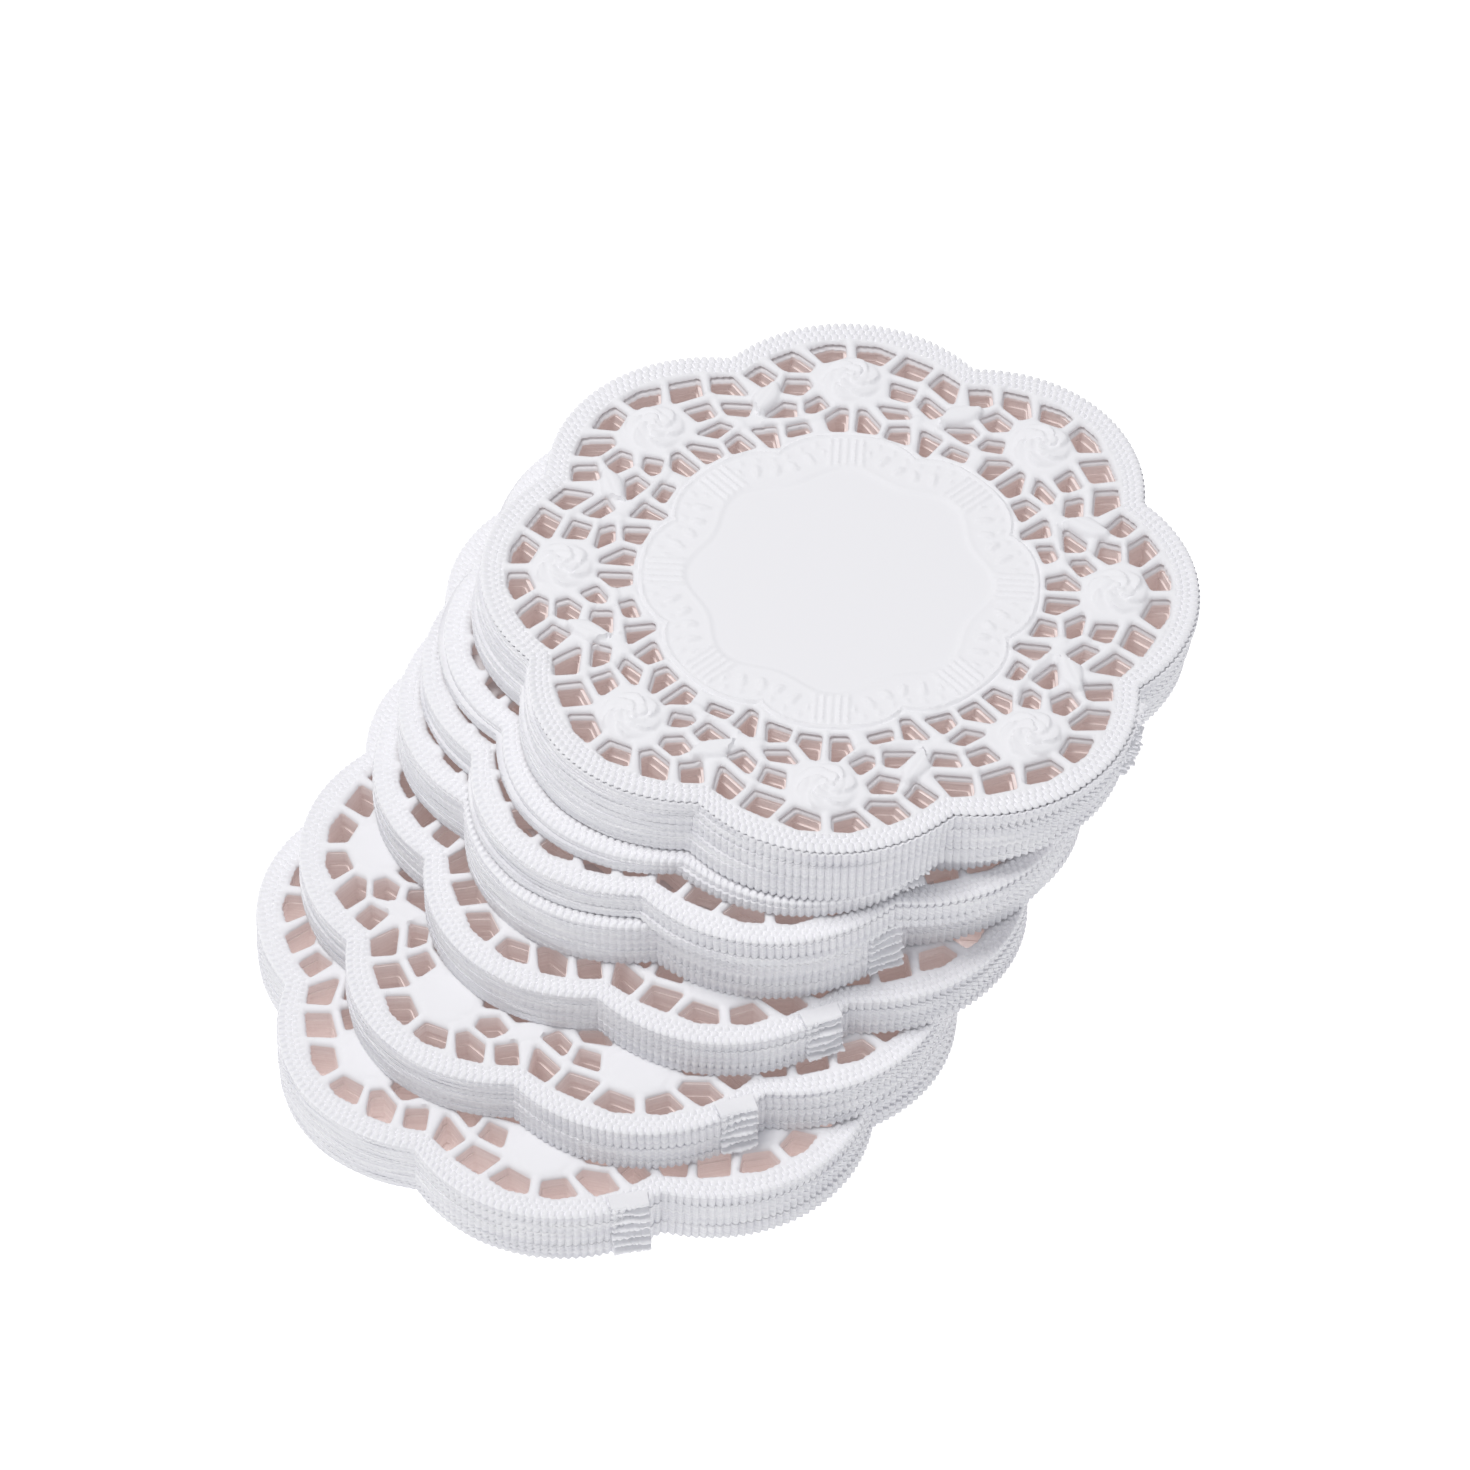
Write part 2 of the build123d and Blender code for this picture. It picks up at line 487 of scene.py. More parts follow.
@dataclass(frozen=True)
class Relief:
    """The embossed relief of the paper, as a height over its plain sheet, in millimetres.

    A row of the border is given by the depth of its middle, its half width, how many beads
    it is shifted by, and its strength. A ring of petals is given by its inner and outer
    radius, its count, the angle that it starts from, and its height.
    """

    outline: DoilyOutline
    openings: LaceOpenings
    medallion: MedallionRelief
    net_level: float = 0.12
    strut_drop: float = 0.72
    strut_round: float = 0.9
    border_low: float = -0.32
    border_rise: float = 0.66
    border_rows: tuple = ((0.62, 0.86, 0.0, 1.0), (1.82, 0.54, 0.5, 0.85), (2.74, 0.5, 0.0, 0.85))
    border_zone: tuple = (2.95, 3.45)
    shoulder_drop: float = 0.3
    shoulder_width: float = 0.6
    rose_radius: float = 4.4
    rose_circle: float = 39.4
    rose_height: float = 0.9
    petal_rings: tuple = ((2.5, 4.3, 6, 0.4, 0.5), (1.15, 2.5, 4, 1.3, 0.46),
                          (0.25, 1.15, 3, 2.2, 0.34))
    petal_swirl: float = 0.42
    petal_middle: float = 0.55
    petal_groove: float = 0.16
    stem_height: float = 0.3
    stem_width: float = 0.8
    leaf_height: float = 0.75
    leaf_vein: float = 0.12
    leaf_span: tuple = (29.8, 8.6)
    leaf_width: tuple = (0.5, 1.25)
    knot_height: float = 0.25
    knot_width: float = 0.95
    stem: tuple = ((-15.6, 29.4), (-11.2, 30.1), (-7.8, 30.6), (-4.4, 31.8), (-2.0, 33.5))
    leaf: tuple = ((-11.2, 37.3), (-12.2, 35.0), (-14.2, 31.2))
    knots: tuple = ((10.4, 39.0), (9.1, 35.2), (-7.0, 35.0), (-10.1, 40.1), (9.8, 31.9))

    def border(self, direction: np.ndarray, depth: np.ndarray) -> np.ndarray:
        """The beaded border: a row of long teeth at the edge and two rows of round beads.

        Args:
            direction: where each point is round the doily.
            depth: how far it is inside the outline.

        Returns:
            The height. Each bead is half an ellipsoid, and the middle row is half a step out.
        """
        steps = direction * self.outline.beads / FULL_TURN
        height = np.zeros(np.shape(depth))
        for middle, half, shift, strength in self.border_rows:
            across = (np.mod(steps + shift, 1.0) - 0.5) / 0.5
            height = np.maximum(height, strength * dome(np.hypot(across, (depth - middle) / half)))
        edge = 1.0 - np.clip(depth / self.shoulder_width, 0.0, 1.0)
        shoulder = self.shoulder_drop * (1.0 - dome(edge))
        return self.border_low + self.border_rise * height - shoulder

    def petals(self, r: np.ndarray, a: np.ndarray, count: int, start: float) -> np.ndarray:
        """One ring of overlapping petals: each falls from 1 at its lip to 0 under the next lip.

        The lips swirl, because their angle grows with the distance from the rose's middle.

        Args:
            r: the distance from the rose's middle.
            a: the direction from it.
            count: how many petals the ring has.
            start: the direction of its first lip.

        Returns:
            The share of a petal's height.
        """
        turn = np.mod(count * (a - start - self.petal_swirl * r) / FULL_TURN, 1.0)
        return smooth_step(turn, 0.0, 0.16) * (1.0 - 0.95 * smooth_step(turn, 0.1, 1.0))

    def rose(self, x: np.ndarray, y: np.ndarray) -> np.ndarray:
        """The rose: a low dome with three rings of petals that lie over each other.

        Args:
            x: the points' x in the eighth of the +Y rose.
            y: their y.

        Returns:
            The height over the net. A groove runs round each ring of petals.
        """
        dx, dy = x, y - self.rose_circle
        r = np.hypot(dx, dy)
        a = np.arctan2(dy, dx)
        share = r / self.rose_radius
        height = self.rose_height * np.clip(1.0 - share ** 3.0, 0.0, 1.0) ** 0.8
        for low, high, count, start, size in self.petal_rings:
            ring = smooth_step(r, low - 0.15, low + 0.15) * (1.0 - smooth_step(r, high - 0.3, high))
            height += size * ring * (self.petals(r, a, count, start) - self.petal_middle)
            height -= self.petal_groove * ridge(r - high, 0.2) * np.clip(1.3 - share, 0.0, 1.0)
        return height

    def height(self, x: np.ndarray, y: np.ndarray, depth: np.ndarray) -> np.ndarray:
        """The whole relief at points of the paper.

        Args:
            x: the points' x.
            y: the points' y.
            depth: how far each point is inside the outline.

        Returns:
            The height over the plain sheet. The net stands up from its openings on a quarter
            round, and the border, roses, leaves, stems and medallion are laid on that.
        """
        fx, fy = self.outline.fold(x, y)
        clear = self.openings.clearance(x, y)
        r = np.hypot(x, y)
        drop = self.strut_drop * (1.0 - dome(1.0 - np.clip(clear / self.strut_round, 0.0, 1.0)))
        net = np.full(np.shape(x), self.net_level)
        net += self.stem_height * dome(from_line(fx, fy, list(self.stem)) / self.stem_width)
        leaf = from_line(fx, fy, list(self.leaf))
        foot, span = self.leaf_span
        least, more = self.leaf_width
        wide = least + more * np.sin(math.pi * np.clip((fy - foot) / span, 0.0, 1.0))
        net += self.leaf_height * dome(leaf / wide) - self.leaf_vein * ridge(leaf, 0.22)
        for kx, ky in self.knots:
            net += self.knot_height * dome(np.hypot(fx - kx, fy - ky) / self.knot_width)
        rose = self.rose(fx, fy)
        beyond = np.hypot(fx, fy - self.rose_circle) / self.rose_radius
        net = np.where(beyond < 1.0, net + rose, net)
        inner = self.outline.medallion_radius(np.arctan2(y, x)) - r
        flat = smooth_step(inner, 0.0, 1.1)
        level = net * (1.0 - flat) + self.medallion.height(fx, fy) * flat
        rim = 1.0 - smooth_step(depth, *self.border_zone)
        return level * (1.0 - rim) + self.border(np.arctan2(y, x), depth) * rim - drop


# ------------------------------------------------------------------ cutting the lace
@dataclass
class LaceSheet:
    """One flat triangulated doily, from which the lifts of one kind are made.

    The first points are the outline's, then come those of the openings, and then the rest.
    Boundary edges run with the paper on their left. The underside, and a nested lift's face,
    end at a smooth ring that lies inside every valley of the fluted wall.
    """

    points: np.ndarray
    depth: np.ndarray
    triangles: np.ndarray
    underside: np.ndarray
    ring: np.ndarray
    outline_count: int
    opening_edges: np.ndarray
    opening_of: np.ndarray
    outward: np.ndarray

    @property
    def edge_count(self) -> int:
        """How many points lie on the outline and the openings."""
        return self.outline_count + len(self.opening_of)


@dataclass(frozen=True)
class LaceCutter:
    """Cuts the flat lace sheet for a depth: its points come from rows, rings and loops."""

    outline: DoilyOutline
    openings: LaceOpenings
    columns_per_bead: int = 4
    border_rows: tuple = (0.13, 0.31, 0.52, 0.76, 1.0, 1.24, 1.46, 1.66, 1.84, 2.04, 2.24, 2.46,
                          2.68, 2.9, 3.14)
    medallion_zone: tuple = (18.6, 28.6)
    centre_start: float = 2.0
    centre_spacing: float = 1.3
    net_end: float = 48.4
    band_error: float = 0.03
    ring_depth: float = 1.05

    def triangulate(self, points: np.ndarray, loops: list[np.ndarray]) -> np.ndarray:
        """Joins points with triangles, inside the first loop and outside the others.

        A triangle that is not in the paper has its three corners on one loop, and passes
        them against the loop's own run, because the paper is on the left of every loop.

        Args:
            points: all the points.
            loops: the indices of each boundary loop, in order round it.

        Returns:
            The triangles' corners, anticlockwise.
        """
        edges = np.concatenate([np.stack([loop, np.roll(loop, -1)], axis=1) for loop in loops])
        spots = [Vector(p) for p in points.tolist()]
        made = delaunay_2d_cdt(spots, edges.tolist(), [], 2, 1e-7, False)
        corners = np.array(made[2], int)
        if len(made[0]) != len(points):
            log.warning("the triangles moved %d points", len(made[0]) - len(points))
        a, b, c = (points[corners[:, i]] for i in range(3))
        area = (b[:, 0] - a[:, 0]) * (c[:, 1] - a[:, 1]) - (b[:, 1] - a[:, 1]) * (c[:, 0] - a[:, 0])
        corners[area < 0.0] = corners[area < 0.0][:, ::-1]
        loop_of = np.full(len(points), -1)
        place = np.zeros(len(points), int)
        length = np.ones(len(points), int)
        for number, loop in enumerate(loops):
            loop_of[loop] = number
            place[loop] = np.arange(len(loop))
            length[loop] = len(loop)
        on_one = (loop_of[corners] == loop_of[corners[:, :1]]).all(axis=1)
        on_one &= loop_of[corners[:, 0]] >= 0
        at, whole = place[corners], length[corners[:, 0]]
        run = np.mod(np.roll(at, -1, axis=1) - at, whole[:, None]).sum(axis=1)
        return corners[~(on_one & (run > whole))]

    def rings(self, low: float, high: float, spacing: float) -> np.ndarray:
        """Points on circles from low to high, evenly spaced, each circle half a step on.

        Args:
            low: the radius of the first circle.
            high: that of the last.
            spacing: about how far apart the points are.

        Returns:
            Rows of x and y.
        """
        rows = max(2, round((high - low) / (spacing * 0.87)))
        found = []
        for i, r in enumerate(np.linspace(low, high, rows)):
            count = self.outline.lobes * max(1, round(FULL_TURN * r / spacing / self.outline.lobes))
            a = (np.arange(count) + 0.5 * (i % 2)) * FULL_TURN / count
            found.append(np.stack([r * np.cos(a), r * np.sin(a)], axis=1))
        return np.concatenate(found)

    def border_points(self, depth: float, columns: np.ndarray) -> np.ndarray:
        """The points of one row of the border, drawn in at the valleys between the teeth.

        Args:
            depth: how far the row is inside the outline.
            columns: the directions of its points.

        Returns:
            Rows of x and y.
        """
        steps = columns * self.outline.beads / FULL_TURN
        fade = 1.0 - smooth_step(np.array(depth), 0.1, 1.0)
        r = self.outline.radius(columns) - depth + self.outline.flute_offset(steps) * fade
        return np.stack([r * np.cos(columns), r * np.sin(columns)], axis=1)

    def cut(self, kind: Depth) -> LaceSheet:
        """Cuts the sheet for one kind of lift.

        Args:
            kind: how much of the lift shows.

        Returns:
            The flat sheet. A nested lift has only the points of its outline and openings.
        """
        count = self.outline.beads * self.columns_per_bead
        columns = np.arange(count) * FULL_TURN / count
        edge = self.border_points(0.0, columns)
        loops = self.openings.loops(GRAINS[kind].side, beaded=kind is not Depth.NESTED)
        loops = [loop[::-1] for loop in loops]
        across = self.outline.radius(columns) - self.ring_depth
        ring = np.stack([across * np.cos(columns), across * np.sin(columns)], axis=1)
        floor_points = np.concatenate([ring] + loops)
        starts = np.cumsum([count] + [len(loop) for loop in loops])
        indices = [np.arange(count)]
        indices += [np.arange(a, b) for a, b in zip(starts[:-1], starts[1:])]
        opening_of = np.concatenate([np.full(len(loop), i) for i, loop in enumerate(loops)])
        underside = self.triangulate(floor_points, indices)
        points, triangles = floor_points, underside
        if kind is not Depth.NESTED:
            points = np.concatenate([edge] + loops + [self.inner_points(kind, columns)])
            triangles = self.triangulate(points, indices)
        outward = np.zeros_like(floor_points)
        for loop in indices[1:]:
            p = floor_points[loop]
            along = np.roll(p, -1, axis=0) - np.roll(p, 1, axis=0)
            along /= np.linalg.norm(along, axis=1)[:, None]
            outward[loop] = np.stack([along[:, 1], -along[:, 0]], axis=1)
        direction = np.arctan2(points[:, 1], points[:, 0])
        depth = self.outline.radius(direction) - np.hypot(points[:, 0], points[:, 1])
        depth[:count] = 0.0
        edges = np.concatenate([np.stack([i, np.roll(i, -1)], axis=1) for i in indices[1:]])
        return LaceSheet(points, depth, triangles, underside, ring, count, edges, opening_of,
                         outward)

    def inner_points(self, kind: Depth, columns: np.ndarray) -> np.ndarray:
        """The points inside the paper: border rows, rows round the openings, and rings.

        Args:
            kind: how much of the lift shows.
            columns: the directions of the border's columns.

        Returns:
            The points, all of them in the paper and clear of its edges.
        """
        grain = GRAINS[kind]
        net = grain.net
        found = [self.border_points(depth, columns) for depth in self.border_rows]
        for band in grain.bands:
            row = np.concatenate(self.openings.loops(net, band))
            clear = self.openings.clearance(row[:, 0], row[:, 1])
            found.append(row[np.abs(clear - band) < self.band_error])
        low, high = self.medallion_zone
        rings = np.concatenate([
            self.rings(self.centre_start, low - 0.6, self.centre_spacing),
            self.rings(low, high - 2.0, grain.medallion),
            self.rings(high - 1.7, self.net_end, net),
            np.zeros((1, 2)),
        ])
        r = np.hypot(rings[:, 0], rings[:, 1])
        depth = self.outline.radius(np.arctan2(rings[:, 1], rings[:, 0])) - r
        clear = self.openings.clearance(rings[:, 0], rings[:, 1])
        keep = (depth > self.border_rows[-1] + 0.6 * net) & (clear > grain.bands[-1] + 0.5 * net)
        found.append(rings[keep])
        return np.concatenate(found)


# ------------------------------------------------------------------ the paper
@dataclass(frozen=True)
class LacePaper:
    """Embossed tissue paper: bleached wood fibre, pressed between steel dies.

    It is matt and bright white, with a fine tooth of fibres. Where the die cut it, the edges
    of the sheets show as fine strata, whose grey streaks and speckles are painted shade.
    Inside the openings a pale pink is painted for light that bounces from edge to edge, and
    a faint painted light is emitted there, as if it came through the thin sheets. The tooth
    of the fibres and the strata are each a bump of a strength and a depth in millimetres.
    """

    name: str
    face: str = "#F8F8FB"
    # The cut walls' two colours are painted shade: grey streaks between the stacked sheets.
    cut_painted_shade_pale: str = "#F1F1F3"
    cut_painted_shade_dark: str = "#DFDFE4"
    # The bore's two colours are a painted pink, for light bounced between the walls of the openings.
    bore: str = "#F4EBE9"
    bore_painted_bounce_deep: str = "#EBE0DE"
    # A faint painted light that the openings emit, though the paper is no lamp.
    painted_glow: str = "#D8C2BD"
    painted_glow_strength: float = 0.1
    roughness: float = 0.78
    ior: float = 1.5
    specular: float = 0.25
    fibre: float = 0.4
    sheet_pitch: float = 0.21
    sheet_run: float = 9.0
    # speckle: fibre noise that breaks up the painted shade of the cut walls and the painted pink of
    # the openings.
    speckle: float = 0.4
    contrast: tuple = (0.32, 0.68)
    tooth: tuple = (0.35, 0.03)
    strata: tuple = (0.8, 0.12)

    def make(self) -> bpy.types.Material:
        """Builds the material.

        Returns:
            The material. It reads the mesh's own attributes: cut is 1 on cut edges, and bore
            is 1 inside an opening.
        """
        material = bpy.data.materials.new(self.name)
        material.use_nodes = True
        tree = material.node_tree
        tree.nodes.clear()
        place = add_node(tree, "ShaderNodeTexCoord", {}, {}).outputs["Object"]
        cut = add_node(tree, "ShaderNodeAttribute", {"attribute_name": "cut"}, {}).outputs["Fac"]
        bore = add_node(tree, "ShaderNodeAttribute", {"attribute_name": "bore"}, {}).outputs["Fac"]
        grain = 1.0 / (self.fibre * MM)
        fibres = add_node(tree, "ShaderNodeTexNoise",
                          {"Scale": grain, "Detail": 3.0, "Roughness": 0.6}, {"Vector": place})
        along, up = 1.0 / (self.sheet_run * MM), 0.5 / (self.sheet_pitch * MM)
        flat = add_node(tree, "ShaderNodeMapping", {"Scale": (along, along, up)}, {"Vector": place})
        strata = add_node(tree, "ShaderNodeTexNoise",
                          {"Scale": 1.0, "Detail": 2.0, "Roughness": 0.7},
                          {"Vector": flat.outputs["Vector"]})
        speckled = add_node(tree, "ShaderNodeMath", {"operation": "MULTIPLY_ADD", 1: self.speckle},
                            {0: fibres.outputs["Fac"], 2: strata.outputs["Fac"]})
        contrast = add_node(tree, "ShaderNodeMapRange",
                            {1: self.contrast[0] + self.speckle / 2.0,
                             2: self.contrast[1] + self.speckle / 2.0},
                            {0: speckled.outputs[0]})
        # Painted shade of the cut walls: streaks of grey between the stacked sheets.
        painted_shade_strata = add_node(tree, "ShaderNodeMix",
                           {"data_type": "RGBA", 6: linear(self.cut_painted_shade_dark), 7: linear(self.cut_painted_shade_pale)},
                           {0: contrast.outputs["Result"]})
        # Painted bounce light: a pink inside the openings, for light bounced between their walls.
        painted_bounce = add_node(tree, "ShaderNodeMix",
                        {"data_type": "RGBA", 6: linear(self.bore_painted_bounce_deep), 7: linear(self.bore)},
                        {0: contrast.outputs["Result"]})
        edge = add_node(tree, "ShaderNodeMix", {"data_type": "RGBA"},
                        {0: bore, 6: painted_shade_strata.outputs[2], 7: painted_bounce.outputs[2]})
        colour = add_node(tree, "ShaderNodeMix", {"data_type": "RGBA", 6: linear(self.face)},
                          {0: cut, 7: edge.outputs[2]})
        tooth = add_node(tree, "ShaderNodeBump",
                         {"Strength": self.tooth[0], "Distance": self.tooth[1] * MM},
                         {"Height": fibres.outputs["Fac"]})
        depth = add_node(tree, "ShaderNodeMath", {"operation": "MULTIPLY"},
                         {0: strata.outputs["Fac"], 1: cut})
        steps = add_node(tree, "ShaderNodeBump",
                         {"Strength": self.strata[0], "Distance": self.strata[1] * MM},
                         {"Height": depth.outputs[0], "Normal": tooth.outputs["Normal"]})
        # Painted light: the bore emits a little, as if light came through the thin sheets.
        through = add_node(tree, "ShaderNodeMath", {"operation": "MULTIPLY", 1: self.painted_glow_strength},
                           {0: bore})
        shader = add_node(tree, "ShaderNodeBsdfPrincipled",
                          {"Roughness": self.roughness, "IOR": self.ior,
                           "Specular IOR Level": self.specular, "Emission Color": linear(self.painted_glow)},
                          {"Base Color": colour.outputs[2], "Normal": steps.outputs["Normal"],
                           "Emission Strength": through.outputs[0]})
        add_node(tree, "ShaderNodeOutputMaterial", {}, {"Surface": shader.outputs["BSDF"]})
        return material


# ------------------------------------------------------------------ meshes
@dataclass
class PaperMesh:
    """The growing mesh of one lift: points in millimetres, triangles, and marks for the paper."""

    points: list[np.ndarray]
    triangles: list[np.ndarray]
    cut: list[np.ndarray]
    bore: list[np.ndarray]
    count: int = 0

    @classmethod
    def empty(cls) -> "PaperMesh":
        """A mesh with nothing in it."""
        return cls([], [], [], [])

    def add(self, points: np.ndarray, cut: np.ndarray | float,
            bore: np.ndarray | float) -> np.ndarray:
        """Adds points with their marks, and returns their indices.

        Args:
            points: rows of x, y and z.
            cut: 1 on cut edges, for each point or for all.
            bore: 1 inside an opening, for each point or for all.

        Returns:
            The indices of the points in the whole mesh.
        """
        first = self.count
        self.points.append(points)
        self.cut.append(np.broadcast_to(np.asarray(cut, float), (len(points),)))
        self.bore.append(np.broadcast_to(np.asarray(bore, float), (len(points),)))
        self.count += len(points)
        return np.arange(first, self.count)

    def band(self, upper: np.ndarray, lower: np.ndarray, edges: np.ndarray) -> None:
        """Joins two rows of points by a wall that faces away from the paper.

        Args:
            upper: the indices of the upper row.
            lower: the indices of the row under it.
            edges: pairs of places in the rows, with the paper on their left.
        """
        a, b = edges[:, 0], edges[:, 1]
        self.triangles.append(np.stack([upper[a], lower[a], lower[b]], axis=1))
        self.triangles.append(np.stack([upper[a], lower[b], upper[b]], axis=1))

    def build(self, name: str, material: bpy.types.Material) -> bpy.types.Object:
        """Makes the Blender object, in metres, with its place in its mesh.

        Args:
            name: the object's name.
            material: the paper.

        Returns:
            The object, which sits at the origin.
        """
        points = np.concatenate(self.points) * MM
        triangles = np.concatenate(self.triangles).astype(np.int32)
        mesh = bpy.data.meshes.new(name)
        mesh.vertices.add(len(points))
        mesh.vertices.foreach_set("co", points.astype(np.float32).ravel())
        mesh.loops.add(3 * len(triangles))
        mesh.loops.foreach_set("vertex_index", triangles.ravel())
        mesh.polygons.add(len(triangles))
        mesh.polygons.foreach_set("loop_start", np.arange(0, 3 * len(triangles), 3, dtype=np.int32))
        mesh.polygons.foreach_set("use_smooth", np.ones(len(triangles), bool))
        mesh.update(calc_edges=True)
        mesh.validate()
        for mark, values in (("cut", self.cut), ("bore", self.bore)):
            layer = mesh.attributes.new(mark, "FLOAT", "POINT")
            layer.data.foreach_set("value", np.concatenate(values).astype(np.float32))
        mesh.set_sharp_from_angle(angle=math.radians(SHARP_DEGREES))
        mesh.materials.append(material)
        piece = bpy.data.objects.new(name, mesh)
        bpy.context.scene.collection.objects.link(piece)
        return piece


@dataclass(frozen=True)
class NickTab:
    """The torn flap beside a notch that held a lift to the waste sheet.

    It is a leaf that keeps level on top and thins from below, from its root to a ragged
    tip, so that the leaves of a block lie over each other like lips. Lengths are in
    millimetres; ripple and sway each have a size and how often they turn across the tab.
    """

    width: float = 5.6
    side_step: float = 4.8
    root: float = 45.9
    tip: float = 48.45
    tip_step: float = 0.2
    rag: float = 0.22
    outs: tuple = (0.0, 0.15, 0.32, 0.5, 0.68, 0.82, 0.92, 0.975, 1.0)
    columns: int = 25
    tear: tuple = (-1.0, 0.4)
    ripple: tuple = (0.14, 5.0)
    jog: float = 0.08
    taper: float = 0.04
    thinning: float = 0.58
    nose: tuple = (0.9, 0.11)
    blunt: float = 0.2
    sway: tuple = (0.14, 4.0)
    phases: float = 6.0
    cover_ease: tuple = (0.3, 0.2)
    # The tab takes a quarter of the painted shade of the cut walls.
    tab_painted_shade: float = 0.25

    def cover(self, points: np.ndarray, eighth: float) -> np.ndarray:
        """One under the tab and zero away from it, for points of the flat doily.

        Args:
            points: rows of x and y.
            eighth: the angle that a lobe takes up.

        Returns:
            The share of each point that lies under the tab.
        """
        flat = turned(points, eighth / 2 - math.pi / 2)
        beside = np.abs(flat[:, 1] + self.side_step) - self.width / 2
        inward, sideways = self.cover_ease
        under = smooth_step(flat[:, 0], self.root - inward, self.root)
        return under * (1.0 - smooth_step(beside, 0.0, sideways))

    def leaf(self, low: float, high: float, under: int, fray: float,
             draw: np.random.Generator) -> np.ndarray:
        """The points of one leaf, as loops round it from its root to its tip.

        Args:
            low: the height of its underside at the root.
            high: the height of its upper face at the root.
            under: how many leaves of its block lie over it, each a little shorter.
            fray: how ragged it is, where 1 is a clean nick.
            draw: the source of its raggedness.

        Returns:
            An array of rows by points by three, where x runs out along the notch's line. The
            thickness falls to four tenths by the tip, from below, and the nose is round.
        """
        out = np.array(self.outs)[:, None]
        across = np.linspace(0.0, 1.0, self.columns)[None, :]
        size, turns = self.ripple
        tear = self.rag * fray * draw.uniform(*self.tear, self.columns)[None, :]
        tear += size * np.sin(across * turns + draw.uniform(0.0, self.phases))
        tear += draw.uniform(-self.jog, self.jog)
        reach = self.tip + self.tip_step * under + tear
        x = self.root + out * (reach - self.root)
        y = -self.side_step + (across - 0.5) * self.width * (1.0 - self.taper * out)
        thick = (high - low) * (1.0 - self.thinning * smooth_step(out, 0.1, 0.9))
        start, length = self.nose
        nose = dome(np.clip((out - start) / length, 0.0, 1.0))
        size, turns = self.sway
        sway = size * out ** 2 * (np.sin(across * turns + draw.uniform(0.0, self.phases)) - 1.0)
        middle = high - thick / 2.0 + sway
        half = thick * (self.blunt + (1.0 - self.blunt) * nose) / 2.0
        top = np.stack(np.broadcast_arrays(x, y, middle + half), axis=2)
        bottom = np.stack(np.broadcast_arrays(x, y, middle - half), axis=2)
        return np.concatenate([top, bottom[:, ::-1]], axis=1)

    def grow(self, mesh: PaperMesh, low: float, high: float, turn: float, middle: np.ndarray,
             under: int, fray: float, draw: np.random.Generator) -> None:
        """Adds the tab of one lift to its mesh.

        Args:
            mesh: the lift's mesh.
            low: the tab's underside.
            high: the tab's upper face.
            turn: the direction of the notch.
            middle: the lift's centre.
            under: how many tabs of its block lie over it.
            fray: how ragged the tab is.
            draw: the source of its raggedness.
        """
        loops = self.leaf(low, high, under, fray, draw)
        rows, around = loops.shape[:2]
        flat = loops.reshape(-1, 3)
        spun = turned(flat[:, :2], turn) + middle
        ids = mesh.add(np.column_stack([spun, flat[:, 2]]), self.tab_painted_shade, 0.0)
        ids = ids.reshape(rows, around)
        j = np.arange(around)
        after = np.roll(j, -1)
        for a, b in zip(ids[:-1], ids[1:]):
            mesh.triangles.append(np.stack([a[j], b[j], b[after]], axis=1))
            mesh.triangles.append(np.stack([a[j], b[after], a[after]], axis=1))
        i = np.arange(self.columns - 1)
        far = around - 1 - i
        root, tip = ids[0], ids[-1]
        mesh.triangles.append(np.stack([root[i], root[i + 1], root[far - 1]], axis=1))
        mesh.triangles.append(np.stack([root[i], root[far - 1], root[far]], axis=1))
        mesh.triangles.append(np.stack([tip[i + 1], tip[i], tip[far]], axis=1))
        mesh.triangles.append(np.stack([tip[i + 1], tip[far], tip[far - 1]], axis=1))


